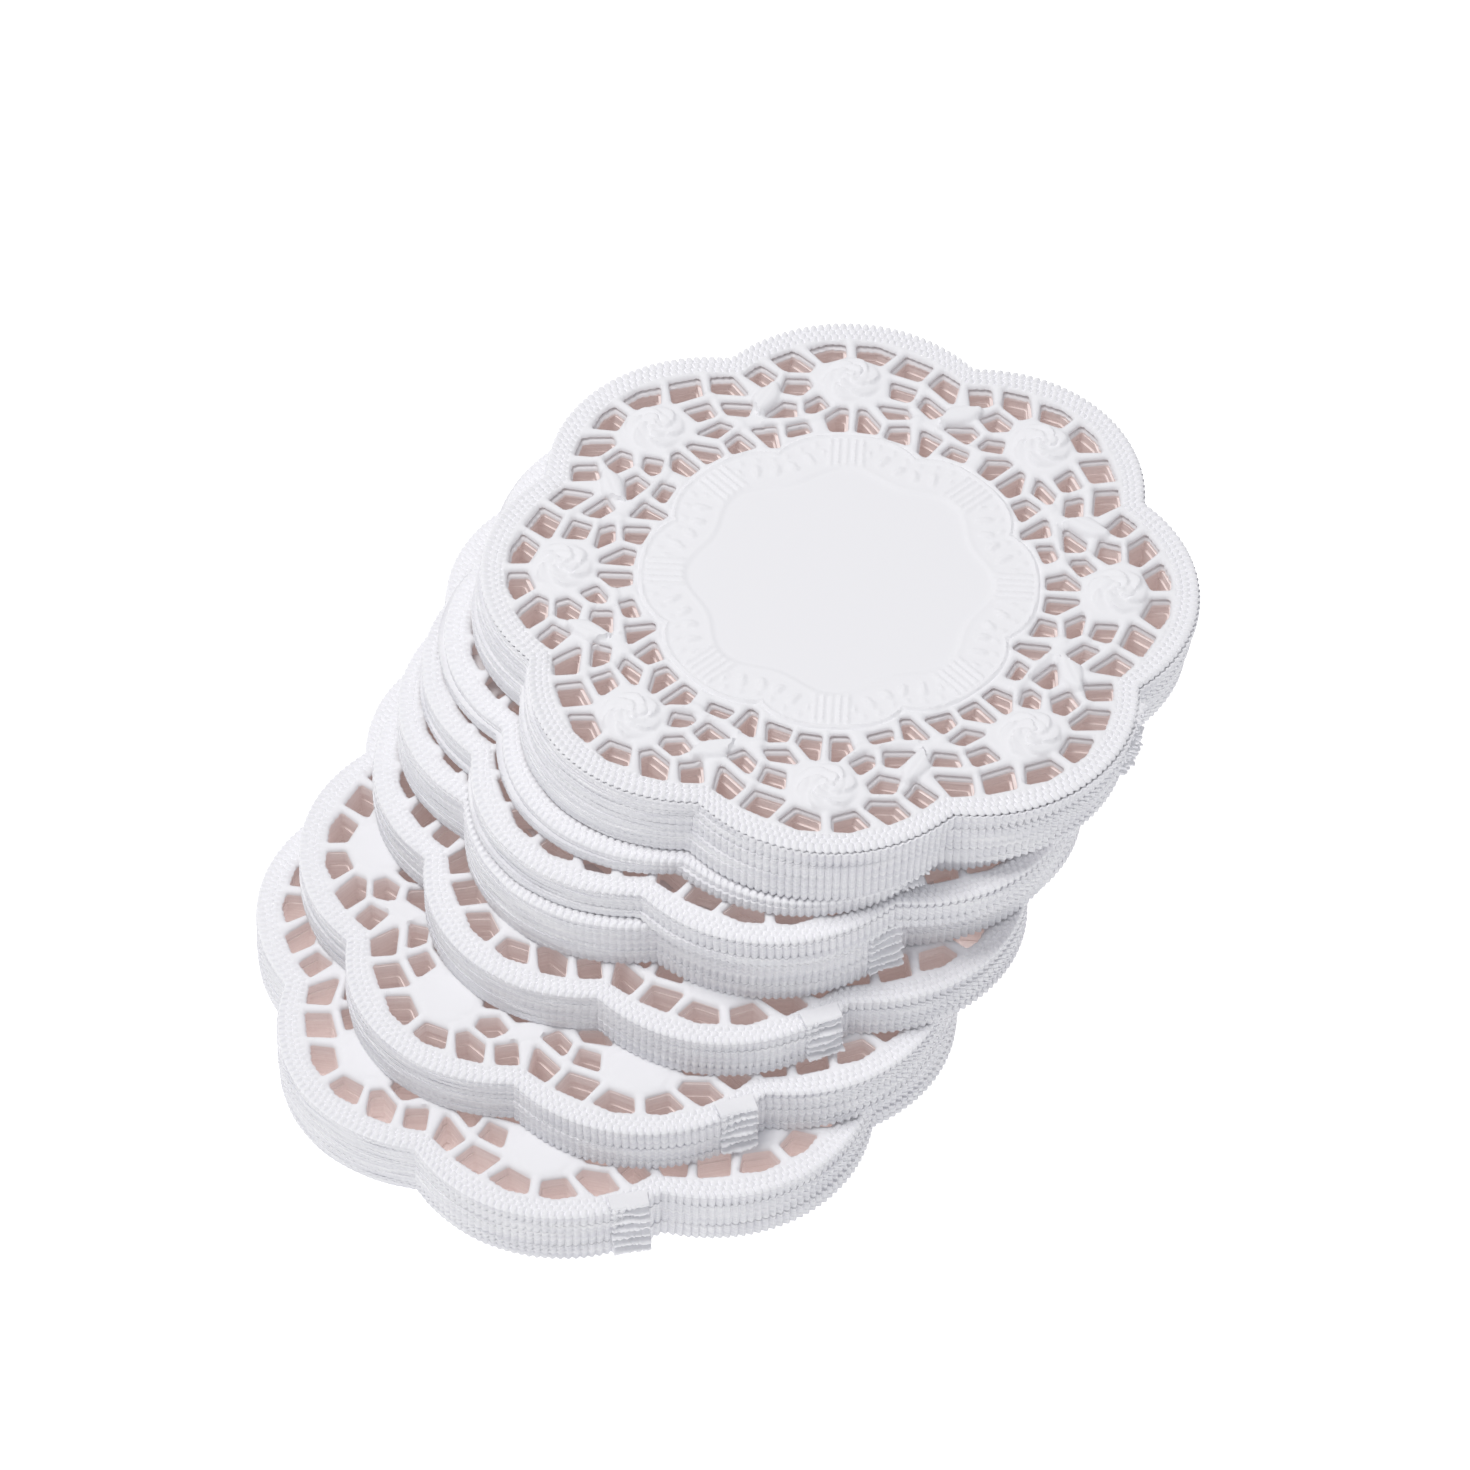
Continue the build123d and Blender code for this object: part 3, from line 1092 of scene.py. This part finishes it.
@dataclass(frozen=True)
class WallStyle:
    """How the stacked sheet edges of a lift wander, in millimetres and beads.

    A zone is where a change sets in and where it is whole, as a share of how far the wall
    faces to the left or to the right.
    """

    ledges: int = 3
    inset: float = 0.02
    waves: tuple = (1, 2, 3, 7, 16, 37)
    waves_scale: float = 2.4
    throw_left: float = 0.06
    throw_front: float = 0.008
    flute_left: float = 0.3
    flute_front: float = 1.6
    flute_right: float = 1.7
    slip_left: float = 0.3
    brick_right: float = 0.1
    slip_right: float = 0.04
    tuck_right: float = 0.06
    bore_throw: float = 0.045
    left_zone: tuple = (0.5, 0.85)
    deep_zone: tuple = (0.5, 0.9)
    tuck_zone: tuple = (0.6, 0.9)
    brick_zone: tuple = (0.62, 0.9)

    def leftness(self, direction: np.ndarray) -> np.ndarray:
        """One where the wall faces left, and zero where it faces right."""
        return (1.0 - np.cos(direction)) / 2.0

    def throw(self, direction: np.ndarray, draw: np.random.Generator) -> np.ndarray:
        """How far one ledge stands out round the lift: a sum of waves of random phase.

        Args:
            direction: where each point of the wall is.
            draw: the source of the phases.

        Returns:
            The throw, which grows where the wall faces left.
        """
        left = smooth_step(self.leftness(direction), *self.left_zone)
        total = np.zeros(np.shape(direction))
        for count in self.waves:
            total += np.sin(count * direction + draw.uniform(0.0, FULL_TURN))
        return (self.throw_front + self.throw_left * left) * total / self.waves_scale

    def tuck(self, direction: np.ndarray, ledge: int) -> np.ndarray:
        """How far the first and last ledges draw in on the right, which rounds the lift's beads."""
        size = 0.0 if ledge % (self.ledges - 1) else self.tuck_right
        return size * smooth_step(1.0 - self.leftness(direction), *self.tuck_zone)

    def fluting(self, direction: np.ndarray) -> np.ndarray:
        """How deep the flutes are, as a share: shallow on the left and deepest on the right.

        Args:
            direction: where each point of the wall is.

        Returns:
            The share of the outline's own flute.
        """
        left = self.leftness(direction)
        shallow = (self.flute_front - self.flute_left) * smooth_step(left, *self.left_zone)
        deep = (self.flute_right - self.flute_front) * smooth_step(1.0 - left, *self.deep_zone)
        return self.flute_front - shallow + deep

    def slip(self, direction: np.ndarray, odd: bool, draw: np.random.Generator) -> np.ndarray:
        """How many beads one ledge's flutes are shifted by: none in front, more on the sides.

        On the right every other lift is a part of a bead on, as bricks are.

        Args:
            direction: where each point of the wall is.
            odd: whether the lift is every other one.
            draw: the source of the ledge's own shift.

        Returns:
            The shift in beads.
        """
        left = self.leftness(direction)
        wave = np.sin(3 * direction + draw.uniform(0.0, FULL_TURN)) + draw.uniform(-1.0, 1.0)
        brick = self.brick_right * (1.0 if odd else -1.0) + self.slip_right * wave
        return self.slip_left * left ** 4 * wave + brick * smooth_step(1.0 - left, *self.brick_zone)


@dataclass(frozen=True)
class Seat:
    """Where a lift lies, in millimetres and radians.

    Attributes:
        low: the height of its underside.
        high: the height of its upper face.
        middle: the centre of its doily.
        turn: its turn about +Z.
        lead: how far its centre is from that of the lift on top of its block.
        lead_turn: how far it is turned from that lift.
        odd: whether it is every other lift of its block.
        covered: whether the top doily lies on it, so that its edge stands up to that.
        seed: what its unevenness is drawn from.
    """

    low: float
    high: float
    middle: np.ndarray
    turn: float
    lead: np.ndarray
    lead_turn: float
    odd: bool
    covered: bool
    seed: int


@dataclass
class LiftMaker:
    """Turns a flat sheet into the closed mesh of a lift."""

    outline: DoilyOutline
    relief: Relief
    sheets: dict[Depth, LaceSheet]
    style: WallStyle
    tab: NickTab
    shown_scale: float = 0.8
    shown_top: float = 0.34
    rose_flat: float = 0.25
    knee_drop: float = 0.1
    crown_level: float = 0.62
    tab_bed: float = 0.4
    covered_rise: float = 0.08
    reliefs: dict[Depth, np.ndarray] = field(default_factory=dict)

    def heights(self, kind: Depth, low: float, high: float) -> np.ndarray:
        """The height of every point of a lift's upper face.

        A nested lift's face is flat. On a shown lift, what stands above the net is pressed
        down by the weight that lay on it, and the paper lies low under the nick tab. The
        crown keeps its whole relief.

        Args:
            kind: how much of the lift shows.
            low: the height of its underside.
            high: the height of its upper face.

        Returns:
            The heights, in the order of the sheet's points.
        """
        sheet = self.sheets[kind]
        if kind is Depth.NESTED:
            return np.full(len(sheet.points), high)
        relief = self.relief_of(kind)
        if kind is Depth.CROWN:
            return low + self.crown_level + relief
        knee = self.shown_top - self.knee_drop
        pressed = np.where(relief > knee, knee + (relief - knee) * self.rose_flat, relief)
        face = high - self.shown_scale * (self.shown_top - np.minimum(pressed, self.shown_top))
        return face - self.tab_bed * self.tab.cover(sheet.points, self.outline.eighth)

    def relief_of(self, kind: Depth) -> np.ndarray:
        """The relief at the points of a sheet, worked out once for each kind.

        Args:
            kind: how much of the lift shows.

        Returns:
            The relief, in the order of the sheet's points.
        """
        if kind not in self.reliefs:
            sheet = self.sheets[kind]
            x, y = sheet.points[:, 0], sheet.points[:, 1]
            self.reliefs[kind] = self.relief.height(x, y, sheet.depth)
        return self.reliefs[kind]

    def make(self, kind: Depth, seat: Seat) -> PaperMesh:
        """Makes one lift.

        Args:
            kind: how much of it shows.
            seat: where it lies.

        Returns:
            The closed mesh. Its walls are rows of the edge points, thrown in and out ledge by
            ledge, from the face down to the underside.
        """
        sheet = self.sheets[kind]
        draw = np.random.default_rng(seat.seed)
        mesh = PaperMesh.empty()
        spread = turned(sheet.points, seat.turn) + seat.middle
        z = self.heights(kind, seat.low, seat.high)
        if seat.covered:
            z[:sheet.outline_count] = seat.high + self.covered_rise
        opening = np.arange(len(sheet.points)) >= sheet.outline_count
        opening &= np.arange(len(sheet.points)) < sheet.edge_count
        # A nested lift's opening edges take the painted shade and the painted pink of the bore.
        bare = opening * (1.0 if kind is Depth.NESTED else 0.0)
        face = mesh.add(np.column_stack([spread, z]), bare, bare)
        mesh.triangles.append(face[sheet.triangles])
        outer = self.outer_wall(mesh, kind, face, z, seat, draw)
        inner = self.opening_walls(mesh, kind, face, z, seat, draw)
        floor = np.concatenate([outer, inner])
        mesh.triangles.append(floor[sheet.underside][:, ::-1])
        return mesh

    def outer_wall(self, mesh: PaperMesh, kind: Depth, face: np.ndarray, z: np.ndarray,
                   seat: Seat, draw: np.random.Generator) -> np.ndarray:
        """Adds the fluted outer wall, ledge by ledge.

        The flutes follow those of the lift on top of the block: they're shifted by how far
        this lift has moved along its own edge, and by its turn. The first ledge of a shown
        lift is one slope down from its beads, and the top doily has only one ledge.

        Args:
            mesh: the lift's mesh.
            kind: how much of the lift shows.
            face: the indices of the upper face's points.
            z: the heights of those points.
            seat: where the lift lies.
            draw: the source of its unevenness.

        Returns:
            The indices of the ring that the underside ends at.
        """
        count = self.sheets[kind].outline_count
        columns = np.arange(count) * FULL_TURN / count
        world = columns + seat.turn
        radius = self.outline.radius(columns)
        ring = np.arange(count)
        edges = np.stack([ring, np.roll(ring, -1)], axis=1)
        beads = self.outline.beads / FULL_TURN
        along = seat.lead[1] * np.cos(world) - seat.lead[0] * np.sin(world)
        follow = (along / radius + seat.lead_turn) * beads
        crown = kind is Depth.CROWN
        ledges = 1 if crown else self.style.ledges
        shares = np.linspace(0.0, 1.0, ledges + 1)
        above = face[:count]
        for ledge in range(ledges):
            if kind is Depth.SHOWN and ledge == 0:
                continue
            slip = self.style.slip(world, seat.odd, draw)
            thrown = self.style.throw(world, draw) - self.style.tuck(world, ledge)
            if crown:
                out = radius - self.style.inset + self.outline.flute_offset(columns * beads)
            else:
                flutes = self.outline.flute_offset(columns * beads + follow + slip)
                out = radius - self.style.inset + self.style.fluting(world) * flutes + thrown
            flat = np.stack([out * np.cos(columns), out * np.sin(columns)], axis=1)
            flat = turned(flat, seat.turn)
            for share in shares[1:] if crown else shares[ledge:ledge + 2]:
                height = z[:count] + (seat.low - z[:count]) * share
                below = mesh.add(np.column_stack([flat + seat.middle, height]), 1.0, 0.0)
                mesh.band(above, below, edges)
                above = below
        ring_place = turned(self.sheets[kind].ring, seat.turn) + seat.middle
        below = mesh.add(np.column_stack([ring_place, np.full(count, seat.low)]), 1.0, 0.0)
        mesh.band(above, below, edges)
        return below

    def opening_walls(self, mesh: PaperMesh, kind: Depth, face: np.ndarray, z: np.ndarray,
                      seat: Seat, draw: np.random.Generator) -> np.ndarray:
        """Adds the walls of the openings, in one band or, on a shown lift, in two.

        Args:
            mesh: the lift's mesh.
            kind: how much of the lift shows.
            face: the indices of the upper face's points.
            z: the heights of those points.
            seat: where the lift lies.
            draw: the source of its unevenness.

        Returns:
            The indices of their lowest row.
        """
        sheet = self.sheets[kind]
        count, total = sheet.outline_count, sheet.edge_count
        points, outward = sheet.points[count:total], sheet.outward[count:total]
        edges = sheet.opening_edges - count
        above = face[count:total]
        throw = 0.0 if kind is Depth.CROWN else self.style.bore_throw
        for share in (0.5, 1.0) if kind is Depth.SHOWN else (1.0,):
            each = draw.uniform(-1.0, 1.0, sheet.opening_of.max() + 1)
            flat = turned(points + outward * throw * each[sheet.opening_of][:, None], seat.turn)
            height = z[count:total] + (seat.low - z[count:total]) * share
            below = mesh.add(np.column_stack([flat + seat.middle, height]), 1.0, 1.0)
            mesh.band(above, below, edges)
            above = below
        return above


# ------------------------------------------------------------------ the stack
@dataclass(frozen=True)
class Block:
    """One block of lifts that slide together.

    Attributes:
        name: the block's name, which its nodes and its body start with.
        order: its place from the surface up.
        turn_degrees: its turn about +Z.
        tab_lobes: how many lobes its nick tabs are turned clockwise.
        fray: how ragged its nick tabs are, where 1 is a clean nick.
        wander: how far its lifts lie from the one on top to the right or left, as a share of
            how far their nodes do. The blocks whose lifts trail keep more of it.
        covered: whether the top doily lies on it.
    """

    name: str
    order: int
    turn_degrees: float
    tab_lobes: int
    fray: float
    wander: float
    covered: bool = False
    wander_back: float = 0.4
    lobe_degrees: float = 45.0
    twist_degrees: float = 0.25
    phase_steps: tuple = (2.1, 1.3, 2.9)
    nested_rise: float = 0.09
    tab_rise: float = 0.05
    tab_lift: float = 0.02

    @property
    def body(self) -> str:
        """The name of the body that the block's lifts ride on."""
        return self.name + "_block"

    def nodes(self) -> list[str]:
        """The names of its lifts, from the lowest up."""
        found = [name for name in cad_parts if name.startswith(self.body + "_lift_")]
        return sorted(found, key=lambda name: int(name.rsplit("_", 1)[1]))

    def lift_turn(self, number: int) -> float:
        """A lift's turn: the block's, less its tab's lobes, and a small twist of its own."""
        by_number, by_order, by_phase = self.phase_steps
        phase = by_number * number + by_order * self.order
        own = self.twist_degrees * math.sin(by_phase * phase)
        return math.radians(self.turn_degrees - self.lobe_degrees * self.tab_lobes + own)

    def build(self, maker: LiftMaker, paper: bpy.types.Material) -> None:
        """Builds and reports every lift of the block.

        Args:
            maker: what turns flat sheets into lifts.
            paper: the lifts' material.
        """
        names = self.nodes()
        boxes = [[np.array(corner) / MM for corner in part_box(name)] for name in names]
        middles = [(low[:2] + high[:2]) / 2.0 for low, high in boxes]
        last = len(names) - 1
        settled = np.array([self.wander, self.wander_back])
        middles = [middles[last] + (middle - middles[last]) * settled for middle in middles]
        for number, (name, (low, high)) in enumerate(zip(names, boxes)):
            shown = number == last
            kind = Depth.SHOWN if shown else Depth.NESTED
            rise = 0.0 if shown else self.nested_rise
            turn = self.lift_turn(number)
            seed = BLOCK_SEEDS * self.order + number
            middle = middles[number]
            seat = Seat(low[2], high[2] + rise, middle, turn, lead=middle - middles[last],
                        lead_turn=turn - self.lift_turn(last), odd=number % 2 == 1,
                        covered=shown and self.covered, seed=seed)
            mesh = maker.make(kind, seat)
            notch = turn + math.pi / 2 - maker.outline.eighth / 2
            tab_top = high[2] + self.tab_rise if shown else high[2] - self.tab_rise
            draw = np.random.default_rng(seed + TAB_SEEDS)
            maker.tab.grow(mesh, low[2] + self.tab_lift, tab_top, notch, middle, last - number,
                           self.fray, draw)
            piece = mesh.build("paper_" + name, paper)
            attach(piece, self.body)
            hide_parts(name)
            log.info("%s: %s, %d triangles", piece.name, kind.value, len(piece.data.polygons))


@dataclass(frozen=True)
class TopDoily:
    """The single doily on top, with its whole relief."""

    node: str = "top_doily"
    turn_degrees: float = -2.3

    def build(self, maker: LiftMaker, paper: bpy.types.Material) -> None:
        """Builds and reports the doily.

        Args:
            maker: what turns flat sheets into lifts.
            paper: the doily's material.
        """
        low, high = (np.array(corner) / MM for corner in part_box(self.node))
        middle = (low[:2] + high[:2]) / 2.0
        turn = math.radians(self.turn_degrees)
        seat = Seat(low[2], high[2], middle, turn, np.zeros(2), 0.0, odd=False, covered=False,
                    seed=TOP_SEED)
        mesh = maker.make(Depth.CROWN, seat)
        piece = mesh.build("paper_" + self.node, paper)
        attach(piece, self.node)
        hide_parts(self.node)
        log.info("%s: %d triangles", piece.name, len(piece.data.polygons))


# ------------------------------------------------------------------ the studio
@dataclass(frozen=True)
class Studio:
    """A white sweep, soft light from the upper left, and the camera.

    The camera's own place is in millimetres, and the light's and the sweep's in metres.
    """

    camera_from: tuple = (32.3, 30.9, 52.7)
    camera_distance: float = 1133.5
    camera_right: float = 14.77
    camera_up: float = 21.87
    elevation_degrees: float = 48.32
    roll_degrees: float = 0.97
    lens: float = 195.9
    sensor: float = 36.0
    floor_side: float = 6.0
    sky_strength: float = 0.47
    key_power: float = 9.1
    key_place: tuple = (-0.36, -0.06, 1.36)
    key_size: float = 0.6
    floor_glow: float = 0.96
    key_target: tuple = (0.03, 0.03, 0.03)
    key_colour: str = "#FFFDFB"
    sky_colour: str = "#FAFBFF"
    floor_colour: str = "#A8A8A8"
    floor_light: str = "#FFFFFF"
    clip: tuple = (0.05, 30.0)

    def aim(self) -> None:
        """Places the camera: it looks along +Y and down, turned a little about its own axis."""
        el = math.radians(self.elevation_degrees)
        roll = math.radians(self.roll_degrees)
        forward = Vector((0.0, math.cos(el), -math.sin(el)))
        right = Vector((1.0, 0.0, 0.0))
        up = right.cross(forward)
        right, up = (math.cos(roll) * right + math.sin(roll) * up,
                     math.cos(roll) * up - math.sin(roll) * right)
        spot = Vector(self.camera_from) - self.camera_right * right - self.camera_up * up
        spot = (spot - self.camera_distance * forward) * MM
        data = bpy.data.cameras.new("camera")
        data.lens = self.lens
        data.sensor_width = self.sensor
        data.clip_start, data.clip_end = self.clip
        camera = bpy.data.objects.new("camera", data)
        turn = Matrix((right, up, -forward)).transposed().to_4x4()
        camera.matrix_world = Matrix.Translation(spot) @ turn
        bpy.context.scene.collection.objects.link(camera)
        bpy.context.scene.camera = camera

    def light(self) -> None:
        """Hangs a large soft light on the upper left, under an even white sky."""
        data = bpy.data.lights.new("key", "AREA")
        data.shape = "DISK"
        data.size = self.key_size
        data.energy = self.key_power
        data.color = linear(self.key_colour)[:3]
        key = bpy.data.objects.new("key", data)
        toward = (Vector(self.key_target) - Vector(self.key_place)).to_track_quat("-Z", "Y")
        key.matrix_world = Matrix.Translation(self.key_place) @ toward.to_matrix().to_4x4()
        bpy.context.scene.collection.objects.link(key)
        world = bpy.data.worlds.new("white_sky")
        bpy.context.scene.world = world
        world.use_nodes = True
        world.node_tree.nodes.clear()
        sky = add_node(world.node_tree, "ShaderNodeBackground",
                       {"Color": linear(self.sky_colour), "Strength": self.sky_strength}, {})
        add_node(world.node_tree, "ShaderNodeOutputWorld", {}, {"Surface": sky.outputs[0]})

    def lay_floor(self) -> None:
        """Lays the white sweep that the stack stands on: matt backdrop paper, lit to plain white."""
        side = self.floor_side / 2.0
        corners = [(-side, -side, 0.0), (side, -side, 0.0), (side, side, 0.0), (-side, side, 0.0)]
        mesh = bpy.data.meshes.new("sweep")
        mesh.from_pydata(corners, [], [(0, 1, 2, 3)])
        floor = bpy.data.objects.new("sweep", mesh)
        material = bpy.data.materials.new("white_sweep")
        material.use_nodes = True
        tree = material.node_tree
        tree.nodes.clear()
        shader = add_node(tree, "ShaderNodeBsdfPrincipled",
                          {"Base Color": linear(self.floor_colour), "Roughness": 0.9,
                           "Emission Color": linear(self.floor_light),
                           "Emission Strength": self.floor_glow}, {})
        add_node(tree, "ShaderNodeOutputMaterial", {}, {"Surface": shader.outputs[0]})
        mesh.materials.append(material)
        bpy.context.scene.collection.objects.link(floor)


def main() -> None:
    """Builds the stack from the surface up, and the studio round it."""
    scene = bpy.context.scene
    scene.view_settings.view_transform = "Standard"
    studio = Studio()
    studio.aim()
    studio.light()
    studio.lay_floor()
    outline = DoilyOutline()
    openings = LaceOpenings(outline)
    cutter = LaceCutter(outline, openings)
    sheets = {kind: cutter.cut(kind) for kind in Depth}
    relief = Relief(outline, openings, MedallionRelief(outline))
    maker = LiftMaker(outline, relief, sheets, WallStyle(), NickTab())
    paper = LacePaper("embossed_tissue_paper").make()
    blocks = (
        Block("lowest", 0, -11.4, tab_lobes=3, fray=1.0, wander=0.4),
        Block("second", 1, -1.8, tab_lobes=3, fray=1.0, wander=0.4),
        Block("third", 2, -0.3, tab_lobes=3, fray=1.0, wander=0.4),
        Block("fourth", 3, 6.3, tab_lobes=3, fray=1.0, wander=0.4),
        Block("fifth", 4, -1.6, tab_lobes=2, fray=1.6, wander=0.8),
        Block("sixth", 5, 2.2, tab_lobes=3, fray=2.6, wander=0.8),
        Block("upper", 6, -2.3, tab_lobes=2, fray=3.0, wander=0.8, covered=True),
    )
    for block in blocks:
        block.build(maker, paper)
    TopDoily().build(maker, LacePaper("embossed_top_tissue_paper").make())


if __name__ == "__main__":
    main()
